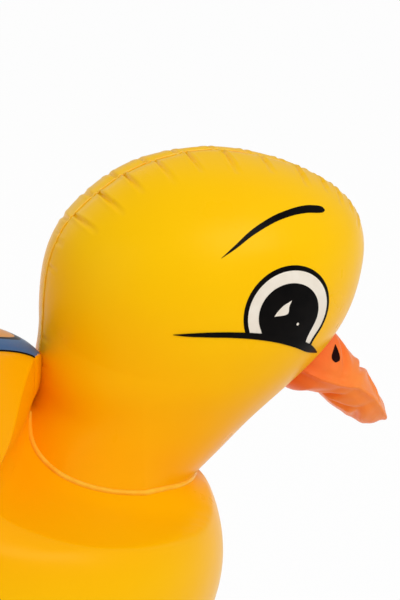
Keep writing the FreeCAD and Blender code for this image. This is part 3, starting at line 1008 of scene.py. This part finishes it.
class DISPENSER_OT_panels(bpy.types.Operator):
    """Pucker the body along its welds and cut it into panels"""
    bl_idname = "dispenser.panels"
    bl_label = "Body seams and panels"

    def execute(self, context):
        film = context.scene.dispenser_film
        body = forms["body"]
        x, half_length, half_width, taper = saddle_oval()
        line = centre_line(body, BODY_CENTRE, FINE_STEP)
        total = FINE_STEP * (len(line) - 1)
        creases = creases_along(
            total, film.crease_pitch * 1.25, film.crease_length, 2.6 * MM, film.crease_depth * 0.9, 5,
        )
        creases = [row for row in creases if line[int(row[0] / FINE_STEP), 2] < 0.2]
        groove = 1.4 * MM * np.clip((0.25 - line[:, 2]) / 0.04, 0, 1)
        pucker(body, line, creases, film.crease_length * 1.1, groove, 5.0 * MM)
        tree = tree_of(body.data)
        saddle = []
        for angle in full_turn(240):
            across = half_width * math.sin(angle) * (1 + taper * math.cos(angle))
            above = Vector((x + half_length * math.cos(angle), across, SEAM_REACH))
            saddle.append(tree.ray_cast(above, Vector((0, 0, -1)))[0])
        forms["saddle_line"] = even_steps(np.array(saddle), LINE_STEP)
        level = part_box("bottom_panel")[0].z + RIM_HEIGHT
        middle = Vector((BODY_CENTRE[0], 0, level))
        rim = [
            tree.ray_cast(middle + ray * SEAM_REACH, -ray)[0]
            for ray in map(ray_round, full_turn(360))
        ]
        forms["rim_line"] = even_steps(np.array(rim), LINE_STEP)
        seams = (("saddle_line", 7, 20 * MM, 1.0), ("rim_line", 9, 26 * MM, 1.5))
        for key, seed, reach, depth in seams:
            seam = forms[key]
            creases = creases_along(
                LINE_STEP * (len(seam) - 1), film.crease_pitch * 1.1, reach, 2.4 * MM,
                film.crease_depth * depth * 0.75, seed, (0,),
            )
            if key == "saddle_line":
                # The film is drawn smooth where the back runs up to the neck
                creases = [row for row in creases if seam[int(row[0] / LINE_STEP), 0] < -0.02]
            pucker(body, seam, creases, reach * 1.05, 0.6 * MM, 3.5 * MM)
        forms["body_line"] = centre_line(body, BODY_CENTRE, LINE_STEP)
        forms["body_tree"] = tree_of(body.data)
        # What the neck covers is dropped, and so is the film over the socket's hole
        centres = face_centres(body.data)
        flat = (centres[:, 2] < level) & (np.hypot(centres[:, 0], centres[:, 1]) < SOCKET_HOLE)
        drop_faces(body, (buried(body, "head_tree", SHELF_LEVEL, 1) > 6 * MM) | flat)
        centres = face_centres(body.data)
        along = (centres[:, 0] - x) / half_length
        across = centres[:, 1] / (half_width * (1 + taper * along))
        up = rows_of(body.data.polygons, "normal")[:, 2]
        on_top = (np.hypot(along, across) < 1.06) & (centres[:, 2] > 0.252) & (up > 0.55)
        back = split_off(body, on_top, "back_film")
        bottom = split_off(body, face_centres(body.data)[:, 2] < level, "bottom_film")
        left = split_off(body, face_centres(body.data)[:, 1] > 0, "body_left_film")
        body.name = "body_right_film"
        dress_panels(
            "yellow", yellow_film,
            (body, "body_right_panel"), (left, "body_left_panel"), (bottom, "bottom_panel"),
        )
        printed_film = material_of("back", back_film, saddle_oval())
        dress(back, "float", printed_film, ["back_panel"])
        return {"FINISHED"}


class DISPENSER_OT_welds(bpy.types.Operator):
    """Lay the weld beads along the seams of the head, neck and body"""
    bl_idname = "dispenser.welds"
    bl_label = "Weld beads"

    def execute(self, context):
        film = context.scene.dispenser_film
        yellow = material_of("yellow", yellow_film)
        # Both hem finishes carry a painted highlight along their beads.
        hem = material_of("hem", weld_film, "welded_pvc_seam", film.hem)
        foot = material_of("foot_hem", weld_film, "welded_pvc_neck_hem", film.foot_hem)
        black = material_of("ink_black", ink, "screen_ink_black", film.ink, BLACK_SHEEN)
        head = forms["head_line"]
        top = run_of(head, depth_inside(forms["body_tree"], head) < 1 * MM)
        bead("weld_head_centre", raised(top, HEAD_CENTRE, HEM_LIFT), film.weld, False, hem)
        ring = forms["neck_line"].copy()
        ring[:, :2] = raised(ring[:, :2], NECK_AXIS, 0.6 * MM)
        bead("weld_neck", ring, film.weld * 4, True, foot)
        body = raised(forms["body_line"], BODY_CENTRE, HEM_LIFT)
        above_rim = body[:, 2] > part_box("bottom_panel")[0].z + RIM_HEIGHT - 1 * MM
        clear_of_head = depth_inside(forms["head_tree"], body) < 1 * MM
        x, half_length = saddle_oval()[:2]
        off_the_back = (body[:, 0] < x - half_length) | (body[:, 2] < 0.2)
        for name, kept in (
            ("weld_chest", (body[:, 0] > 0.05) & above_rim & clear_of_head),
            ("weld_tail", (body[:, 0] < -0.05) & above_rim & off_the_back),
        ):
            bead(name, run_of(body, kept), film.weld, False, yellow)
        # The back's black outline stops short of the hump's front
        saddle = forms["saddle_line"]
        shown = (saddle[:, 2] > 0.262) & (depth_inside(forms["head_tree"], saddle) < 0)
        bead("weld_back", run_of(saddle, shown), film.weld * 0.8, False, black)
        bead("weld_bottom", forms["rim_line"], film.weld * 2.4, True, yellow)
        return {"FINISHED"}


def run_of(ring, kept):
    """The longest unbroken run of kept points on a closed ring."""
    ring, kept = ring[:-1], kept[:-1]
    gaps = np.where(~kept)[0]
    if len(gaps):
        ring, kept = np.roll(ring, -gaps[0], axis=0), np.roll(kept, -gaps[0])
    best, start = (0, 0), None
    for index, value in enumerate([*kept, False]):
        if value and start is None:
            start = index
        if not value and start is not None:
            best = max(best, (index - start, start))
            start = None
    return ring[best[1]:best[1] + best[0]]


class DISPENSER_OT_beak(bpy.types.Operator):
    """Blow up the slack beak, fold its film and part it at the mouth seam"""
    bl_idname = "dispenser.beak"
    bl_label = "Beak panels"

    def execute(self, context):
        beak = inflated("float_beak", BEAK_CENTRE, BEAK_NODES, 2, 1, relax=2)
        level_seam(beak)
        points = coordinates(beak.data)
        root = np.array(BEAK_ROOT) * MM
        ahead = np.array([math.cos(BEAK_PITCH), 0.0, -math.sin(BEAK_PITCH)])
        over = np.array([math.sin(BEAK_PITCH), 0.0, math.cos(BEAK_PITCH)])
        along, lift, across = (points - root) @ ahead, (points - root) @ over, points[:, 1]
        # The slack film is drawn to its own side outline: a thin waist, a full lower lip, a blunt tip
        rim = points[:, 1] == 0.0
        places = np.arange(*BEAK_STATIONS) * MM
        slices = [lift[rim & (np.abs(along - place) < 2 * MM)] for place in places]
        top = np.array([cut.max() for cut in slices])
        foot = np.array([cut.min() for cut in slices])
        new_top, new_foot, seam = (
            np.interp(places / MM, *np.array(outline).T) * MM
            for outline in (BEAK_TOP, BEAK_FOOT, BEAK_SEAM)
        )

        def read(rows):
            """A side outline read at every vertex."""
            return np.interp(along, places, rows)

        middle = (read(top) + read(foot)) / 2
        rise = np.clip((lift - middle) / np.maximum(read(top) - middle, 1 * MM), 0, 1.3)
        fall = np.clip((middle - lift) / np.maximum(middle - read(foot), 1 * MM), 0, 1.3)
        mouth = read(seam)
        drawn = mouth + rise * (read(new_top) - mouth) - fall * (mouth - read(new_foot))
        share = np.clip((along + 4 * MM) / (10 * MM), 0, 1)
        change = share * (drawn - lift)
        tip = np.clip((along - 44 * MM) / (18 * MM), 0, 1)
        points += over * change[:, None] + ahead * (2.5 * MM * tip)[:, None]
        lift = lift + change
        move_to(beak.data, points)
        modify(beak, "SMOOTH", factor=0.5, iterations=3)
        points, normals = coordinates(beak.data), normals_of(beak.data)
        above = lift - mouth
        # Slack folds: each is a sharp valley between two soft ridges
        push = np.zeros(len(points))
        for place, side, face, slant, width, length, depth in BEAK_FOLDS:
            onward, aside = along / MM - place, across / MM - side
            offset = onward * math.cos(slant) + aside * math.sin(slant)
            run = -onward * math.sin(slant) + aside * math.cos(slant)
            on_face = np.clip(face * above / (3 * MM) + 0.2, 0, 1)
            shape = 0.55 * np.exp(-((np.abs(offset) - width) / (0.6 * width)) ** 2)
            shape -= np.exp(-(offset / (0.4 * width)) ** 2)
            push += depth * MM * shape * on_face * np.exp(-(run / length) ** 2)
        # The mouth seam stands out as a thin lip with a hollow above and below it
        lip = np.exp(-(above / (1.3 * MM)) ** 2)
        hollow = 0.6 * np.exp(-((np.abs(above) - 4 * MM) / (2.4 * MM)) ** 2)
        points += normals * (push + (lip - hollow) * 1.2 * MM)[:, None]
        move_to(beak.data, points)
        forms["beak_tree"] = tree_of(beak.data)
        drop_faces(beak, depth_inside(forms["head_tree"], face_centres(beak.data)) > 4 * MM)
        centres = face_centres(beak.data)
        mouth = np.interp((centres - root) @ ahead, places, seam)
        lower = split_off(beak, (centres - root) @ over < mouth, "beak_lower_film")
        beak.name = "beak_upper_film"
        dress_panels("orange", orange_film, (beak, "beak_upper_panel"), (lower, "beak_lower_panel"))
        return {"FINISHED"}


# ---- The printed face ----------------------------------------------------------------------------

# Prints are drawn in the X-Z plane in millimetres. A stroke's rows are x, z and width.
LASH = (
    (89.5, 279.3, 0.3), (97, 279.0, 1.7), (108, 278.6, 2.7), (120, 277.7, 3.1), (133, 275.8, 3.5),
    (147, 272.4, 4.2), (160, 267.4, 4.8), (170, 261.8, 4.6), (178.5, 256.3, 0.6),
)
BROW = (
    (116, 318.8, 0.2), (124, 323.7, 1.5), (135, 330.2, 2.5), (148, 335.0, 2.9), (160, 337.1, 3.1),
    (170, 337.3, 3.4), (178, 336.1, 3.4), (182, 335.2, 2.4), (183.2, 334.9, 0.5),
)
NOSTRIL = (
    (199.2, 252.4, 0.4), (198.4, 250.0, 3.2), (197.4, 247.2, 5.4), (196.8, 245.4, 4.6),
    (196.5, 244.2, 0.6),
)
# The eye's ovals, from the lowest ink up: middle, radii, tilt, where the edge starts and ends, layer
EYE_OVALS = (
    ("eye_rim", (154.0, 285.8), (27.2, 25.9), 0, (197, -50), 1, "black"),
    ("eye_white", (154.3, 285.6), (25.0, 23.3), 0, (198, -52), 2, "white"),
    ("eye_pupil", (154.4, 285.0), (19.0, 17.2), -9, (216, -42), 3, "black"),
)
# The two edges of the crescent of white in the pupil, and the middle of the small white dot, a painted
# highlight: a lamp's reflection on the pupil
EYE_GLINT = (
    ((155.2, 292.8), (150, 290.6), (146.4, 287.6), (144.6, 285.3)),
    ((155.2, 292.8), (153.6, 289.6), (152.6, 285.6), (144.6, 285.3)),
)
EYE_PAINTED_HIGHLIGHT = (159.6, 278.8)
INK_LAYER = 0.12 * MM  # thicker than real ink, so that the layers lie clear of each other


def printed(name, edges, side, layer, material, grid, form="head_tree"):
    """A patch of ink between an upper and a lower edge line, laid on one side of a form's film."""
    upper, lower = edges
    target = forms[form]
    deselect()
    bpy.ops.mesh.primitive_grid_add(x_subdivisions=grid[0], y_subdivisions=grid[1], size=1.0)
    piece = bpy.context.object
    piece.name = name
    share = coordinates(piece.data)[:, :2] + 0.5
    places = np.linspace(0, 1, len(upper))
    flat = []
    for axis in (0, 1):
        top = np.interp(share[:, 0], places, upper[:, axis])
        foot = np.interp(share[:, 0], places, lower[:, axis])
        flat.append(foot + (top - foot) * share[:, 1])
    rows = []
    for x, z in zip(*flat):
        start = Vector((x * MM, side * 0.3, z * MM))
        spot, normal, _, _ = target.ray_cast(start, Vector((0, -side, 0)), 0.3)
        if spot is None:
            spot, normal, _, _ = target.find_nearest(Vector((x * MM, side * 0.02, z * MM)))
        rows.append(spot + normal * layer * INK_LAYER)
    move_to(piece.data, np.array(rows))
    make_active(piece)
    average = sum((face.normal * face.area for face in piece.data.polygons), Vector())
    if average.y * side < 0:
        bpy.ops.object.mode_set(mode="EDIT")
        bpy.ops.mesh.select_all(action="SELECT")
        bpy.ops.mesh.flip_normals()
        bpy.ops.object.mode_set(mode="OBJECT")
    dress(piece, "float", material)


def stroke(points, count=60):
    """The two edges of a brush stroke from its middle line and width."""
    line = smooth_through(points, count)
    run = np.gradient(line[:, :2], axis=0)
    square = np.column_stack([-run[:, 1], run[:, 0]]) / np.linalg.norm(run, axis=1)[:, None]
    half = line[:, 2:3] / 2
    return line[:, :2] + square * half, line[:, :2] - square * half


def arch(centre, radii, tilt, start, end, count=60):
    """The upper edge of an oval, from its left foot over the top to its right foot."""
    angles = np.linspace(math.radians(start), math.radians(end), count)
    turn = math.radians(tilt)
    x, z = radii[0] * np.cos(angles), radii[1] * np.sin(angles)
    return np.column_stack([
        centre[0] + x * math.cos(turn) - z * math.sin(turn),
        centre[1] + x * math.sin(turn) + z * math.cos(turn),
    ])


class DISPENSER_OT_face(bpy.types.Operator):
    """Print the eyes, lashes, brows and nostrils"""
    bl_idname = "dispenser.face"
    bl_label = "Printed face"

    def execute(self, context):
        film = context.scene.dispenser_film
        inks = {
            "black": material_of("ink_black", ink, "screen_ink_black", film.ink, BLACK_SHEEN),
            "white": material_of("ink_white", ink, "screen_ink_white", film.eye, "#E9DECE"),
            "dark": material_of("ink_maroon", ink, "screen_ink_maroon", "#2A0B08", "#170504"),
        }
        lash_foot = smooth_through([row[:2] for row in LASH], 200)
        glint_edges = [smooth_through(edge, 30) for edge in EYE_GLINT]
        painted_highlight_edges = [arch(EYE_PAINTED_HIGHLIGHT, (0.8, 0.8), 0, 180, end, 16) for end in (0, 360)]
        for side, word in ((-1, "right"), (1, "left")):
            for name, centre, radii, tilt, ends, layer, colour in EYE_OVALS:
                over = arch(centre, radii, tilt, *ends)
                run = np.linspace(over[0, 0], over[-1, 0], len(over))
                foot = np.column_stack([run, np.interp(run, lash_foot[:, 0], lash_foot[:, 1])])
                printed(f"{name}_{word}", (over, foot), side, layer, inks[colour], (56, 26))
            printed(f"lash_{word}", stroke(LASH), side, 4, inks["black"], (70, 5))
            printed(f"brow_{word}", stroke(BROW), side, 1, inks["black"], (60, 5))
            printed(f"eye_glint_{word}", glint_edges, side, 4, inks["white"], (16, 6))
            # Painted highlight: a small white dot of ink stands for a lamp's reflection in the pupil.
            printed(f"eye_painted_highlight_{word}", painted_highlight_edges, side, 4, inks["white"], (12, 4))
            printed(
                f"nostril_{word}", stroke(NOSTRIL, 30), side, 1, inks["dark"], (20, 6),
                "beak_tree",
            )
        return {"FINISHED"}


# ---- Moulded parts -------------------------------------------------------------------------------

# Each CAD part, its body, its slot and its share of the round-over
MOULDINGS = (
    ("canister", "canister", "white_plastic", 1.0),
    ("canister_crown", "canister", "white_plastic", 1.0),
    ("base_cap", "base_cap", "white_plastic", 1.0),
    ("tablet_grid", "tablet_grid", "white_plastic", 0.6),
    ("ballast_cover", "base_cap", "white_plastic", 1.0),
    ("lock_ring", "lock_ring", "blue_plastic", 1.0),
    ("flow_collar", "flow_collar", "blue_plastic", 1.0),
    ("socket", "float", "socket_plastic", 1.0),
    ("valve_seat", "float", "clear_vinyl", 1.0),
    ("valve_flap", "valve_flap", "clear_vinyl", 0.3),
    ("valve_plug", "valve_plug", "clear_vinyl", 0.8),
    ("valve_strap", "float", "clear_vinyl", 0.5),
    ("socket_seal", "canister", "seal_rubber", 0.7),
    ("cap_seal", "base_cap", "seal_rubber", 0.7),
    ("ballast_ring", "base_cap", "ballast_iron", 1.0),
    ("cover_screws", "base_cap", "steel", 0.3),
    ("tether_eyelet", "float", "steel", 0.3),
    ("tether_tab", "float", "yellow_vinyl", 0.5),
)
# The dial's numbers: half their height out of the collar's wall, and their foot's level
DIAL_FACE, DIAL_LEVEL = 47.9 * MM, 42.5 * MM
# The mark under the dial, in the gap between the base cap and the collar
POINTER_REACH, POINTER_LEVEL = 47.6 * MM, 30.95 * MM


class DISPENSER_OT_mouldings(bpy.types.Operator):
    """Give the moulded parts, seals, ballast and steel their finishes"""
    bl_idname = "dispenser.mouldings"
    bl_label = "Moulded parts"

    def execute(self, context):
        plastics = context.scene.dispenser_plastics
        white, blue, ivory = (
            material_of(key, moulded_plastic, f"moulded_{plastic}_{key}", colour, tint, rough)
            for key, plastic, colour, tint, rough in (
                ("white", "polypropylene", plastics.shell, "#E4E5E1", 0.36),
                ("blue", "abs", plastics.dial, "#29639F", 0.34),
                ("ivory", "polypropylene", plastics.socket, "#DDDACF", 0.45),
            )
        )
        milky = material_of("milky", milky_vinyl, plastics.clear)
        black = material_of("rubber", rubber, plastics.rubber)
        iron = material_of("iron", cast_iron)
        steel = material_of("steel", stainless)
        yellow = material_of("yellow", yellow_film)
        finishes = {
            "white_plastic": white, "blue_plastic": blue, "socket_plastic": ivory, "clear_vinyl": milky,
            "seal_rubber": black, "ballast_iron": iron, "steel": steel, "yellow_vinyl": yellow,
        }
        for name, body, slot, share in MOULDINGS:
            moulded(name, body, finishes[slot], plastics.round_over * share)
        for count in range(5):
            digit(str(count), -64 + 7 * count, white)
        pointer(-50, blue)
        return {"FINISHED"}


def moulded(name, body, material, width):
    """A copy of a CAD part with its edges rounded over as they leave the mould."""
    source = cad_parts[name]
    piece = bpy.data.objects.new(f"{name}_moulding", source.data.copy())
    bpy.context.scene.collection.objects.link(piece)
    make_active(piece)
    bpy.ops.object.mode_set(mode="EDIT")
    bpy.ops.mesh.select_all(action="SELECT")
    bpy.ops.mesh.remove_doubles(threshold=0.002 * MM)
    bpy.ops.mesh.dissolve_limited(angle_limit=math.radians(1.0))
    bpy.ops.object.mode_set(mode="OBJECT")
    modify(
        piece, "BEVEL", width=width, segments=2, limit_method="ANGLE", angle_limit=math.radians(40),
        use_clamp_overlap=True,
    )
    dress(piece, body, material, [name])
    bpy.ops.object.shade_smooth_by_angle(angle=math.radians(35))


def digit(text, angle, material):
    """A raised number moulded on the flow collar, bent round it."""
    deselect()
    bpy.ops.object.text_add()
    piece = bpy.context.object
    piece.name = f"dial_number_{text}"
    piece.data.body = text
    piece.data.size = 6 * MM
    piece.data.extrude = 0.35 * MM
    piece.data.align_x = "CENTER"
    bpy.ops.object.convert(target="MESH")
    piece = bpy.context.object
    points = coordinates(piece.data)
    turn = math.radians(angle) + points[:, 0] / (49.6 * MM)
    reach = DIAL_FACE + points[:, 2]
    places = [reach * np.cos(turn), reach * np.sin(turn), DIAL_LEVEL + points[:, 1]]
    move_to(piece.data, np.column_stack(places))
    dress(piece, "flow_collar", material)
    bpy.ops.object.shade_smooth_by_angle(angle=math.radians(30))


def pointer(angle, material):
    """The small raised mark on the canister that the dial's numbers pass."""
    deselect()
    bpy.ops.mesh.primitive_cone_add(vertices=3, radius1=1.0 * MM, radius2=1.0 * MM, depth=2.4 * MM)
    piece = bpy.context.object
    piece.name = "dial_pointer"
    turn = math.radians(angle)
    piece.rotation_euler = (math.pi / 2, 0, turn + math.pi / 2)
    piece.location = (*(ray_round(turn) * POINTER_REACH)[:2], POINTER_LEVEL)
    bpy.ops.object.transform_apply(location=True, rotation=True, scale=True)
    dress(piece, "canister", material)
    bpy.ops.object.shade_smooth_by_angle(angle=math.radians(30))


# ---- Stage ---------------------------------------------------------------------------------------

# How much of the floor's own white the eye sees, against its shade
FLOOR_GLOW = 0.96
# What the camera and the lamps point at: the head
LOOK_AT = (0.127, 0.0, 0.27927)


class DISPENSER_OT_stage(bpy.types.Operator):
    """Set up the floor, the soft lamps and the camera"""
    bl_idname = "dispenser.stage"
    bl_label = "Stage"

    def execute(self, context):
        studio = context.scene.dispenser_studio
        deselect()
        bpy.ops.mesh.primitive_plane_add(size=30.0, location=(0, 0, 0))
        floor = context.object
        floor.name = "studio_floor"
        material, tree = new_material("painted_studio_floor")
        place = object_place(tree)
        tone = spread(tree, grain(tree, place, 0.4, 2.0), 0.0, 0.4)
        shade = blend_colour(tree, tone, linear(studio.floor), linear("#EFEFED"))
        matt = add_node(tree, "ShaderNodeBsdfPrincipled", {"Roughness": 0.9}, {"Base Color": shade})
        glow = add_node(tree, "ShaderNodeEmission", {"Strength": 1.0})
        path = add_node(tree, "ShaderNodeLightPath")
        sight = calculate(tree, "MAXIMUM", path.outputs["Is Camera Ray"], path.outputs["Is Glossy Ray"])
        seen = calculate(tree, "MULTIPLY", sight, FLOOR_GLOW)
        both = add_node(
            tree, "ShaderNodeMixShader",
            links={0: seen, 1: matt.outputs["BSDF"], 2: glow.outputs[0]},
        )
        add_node(tree, "ShaderNodeOutputMaterial", links={"Surface": both.outputs[0]})
        floor.data.materials.append(material)

        world = bpy.data.worlds.new("studio_room")
        context.scene.world = world
        world.use_nodes = True
        tree = world.node_tree
        tree.nodes.clear()
        room = add_node(tree, "ShaderNodeBackground", {"Color": (1, 1, 1, 1), "Strength": studio.room})
        back = add_node(tree, "ShaderNodeBackground", {"Color": (1, 1, 1, 1), "Strength": 1.0})
        path = add_node(tree, "ShaderNodeLightPath")
        both = add_node(
            tree, "ShaderNodeMixShader",
            links={0: path.outputs["Is Camera Ray"], 1: room.outputs[0], 2: back.outputs[0]},
        )
        add_node(tree, "ShaderNodeOutputWorld", links={"Surface": both.outputs[0]})

        target = Vector(LOOK_AT)
        for name, place, size, power in (
            ("key_lamp", (0.55, -1.1, 1.25), 0.9, studio.key),
            ("fill_lamp", (-1.3, -0.6, 0.9), 1.2, studio.fill),
            ("rear_lamp", (-0.4, 1.3, 1.1), 1.2, studio.fill),
        ):
            lamp = bpy.data.lights.new(name, "AREA")
            lamp.size = size
            lamp.energy = power
            light = bpy.data.objects.new(name, lamp)
            light.location = place
            light.rotation_euler = (target - Vector(place)).to_track_quat("-Z", "Y").to_euler()
            context.scene.collection.objects.link(light)

        a, e = studio.azimuth, studio.elevation
        back = Vector((math.sin(a) * math.cos(e), -math.cos(a) * math.cos(e), math.sin(e)))
        lens = bpy.data.cameras.new("camera")
        lens.lens = studio.focal
        lens.sensor_width = 36.0
        camera = bpy.data.objects.new("camera", lens)
        camera.location = target + back * studio.distance
        camera.rotation_euler = (-back).to_track_quat("-Z", "Y").to_euler()
        context.scene.collection.objects.link(camera)
        context.scene.camera = camera
        context.scene.view_settings.view_transform = "Standard"
        return {"FINISHED"}


STEPS = ("body", "head", "panels", "beak", "welds", "face", "mouldings", "stage")


class DISPENSER_PT_tools(bpy.types.Panel):
    """Buttons for each group of pieces, in the order they are made"""
    bl_label = "Dispenser"
    bl_idname = "DISPENSER_PT_tools"
    bl_space_type = "VIEW_3D"
    bl_region_type = "UI"
    bl_category = "Dispenser"

    def draw(self, context):
        for step in STEPS:
            self.layout.operator(f"dispenser.{step}")
        for group in ("dispenser_film", "dispenser_plastics", "dispenser_studio"):
            box = self.layout.box()
            settings = getattr(context.scene, group)
            for key in settings.__annotations__:
                box.prop(settings, key)


CLASSES = (
    DispenserFilm, DispenserPlastics, DispenserStudio,
    DISPENSER_OT_body, DISPENSER_OT_head, DISPENSER_OT_panels, DISPENSER_OT_beak, DISPENSER_OT_welds,
    DISPENSER_OT_face, DISPENSER_OT_mouldings, DISPENSER_OT_stage, DISPENSER_PT_tools,
)


def register():
    """Adds the settings, the operators and the panel."""
    for item in CLASSES:
        bpy.utils.register_class(item)
    bpy.types.Scene.dispenser_film = bpy.props.PointerProperty(type=DispenserFilm)
    bpy.types.Scene.dispenser_plastics = bpy.props.PointerProperty(type=DispenserPlastics)
    bpy.types.Scene.dispenser_studio = bpy.props.PointerProperty(type=DispenserStudio)


def unregister():
    """Takes them away again."""
    del bpy.types.Scene.dispenser_studio
    del bpy.types.Scene.dispenser_plastics
    del bpy.types.Scene.dispenser_film
    for item in reversed(CLASSES):
        bpy.utils.unregister_class(item)


def main():
    """Makes every piece in order."""
    register()
    for step in STEPS:
        getattr(bpy.ops.dispenser, step)()


if __name__ == "__main__":
    main()
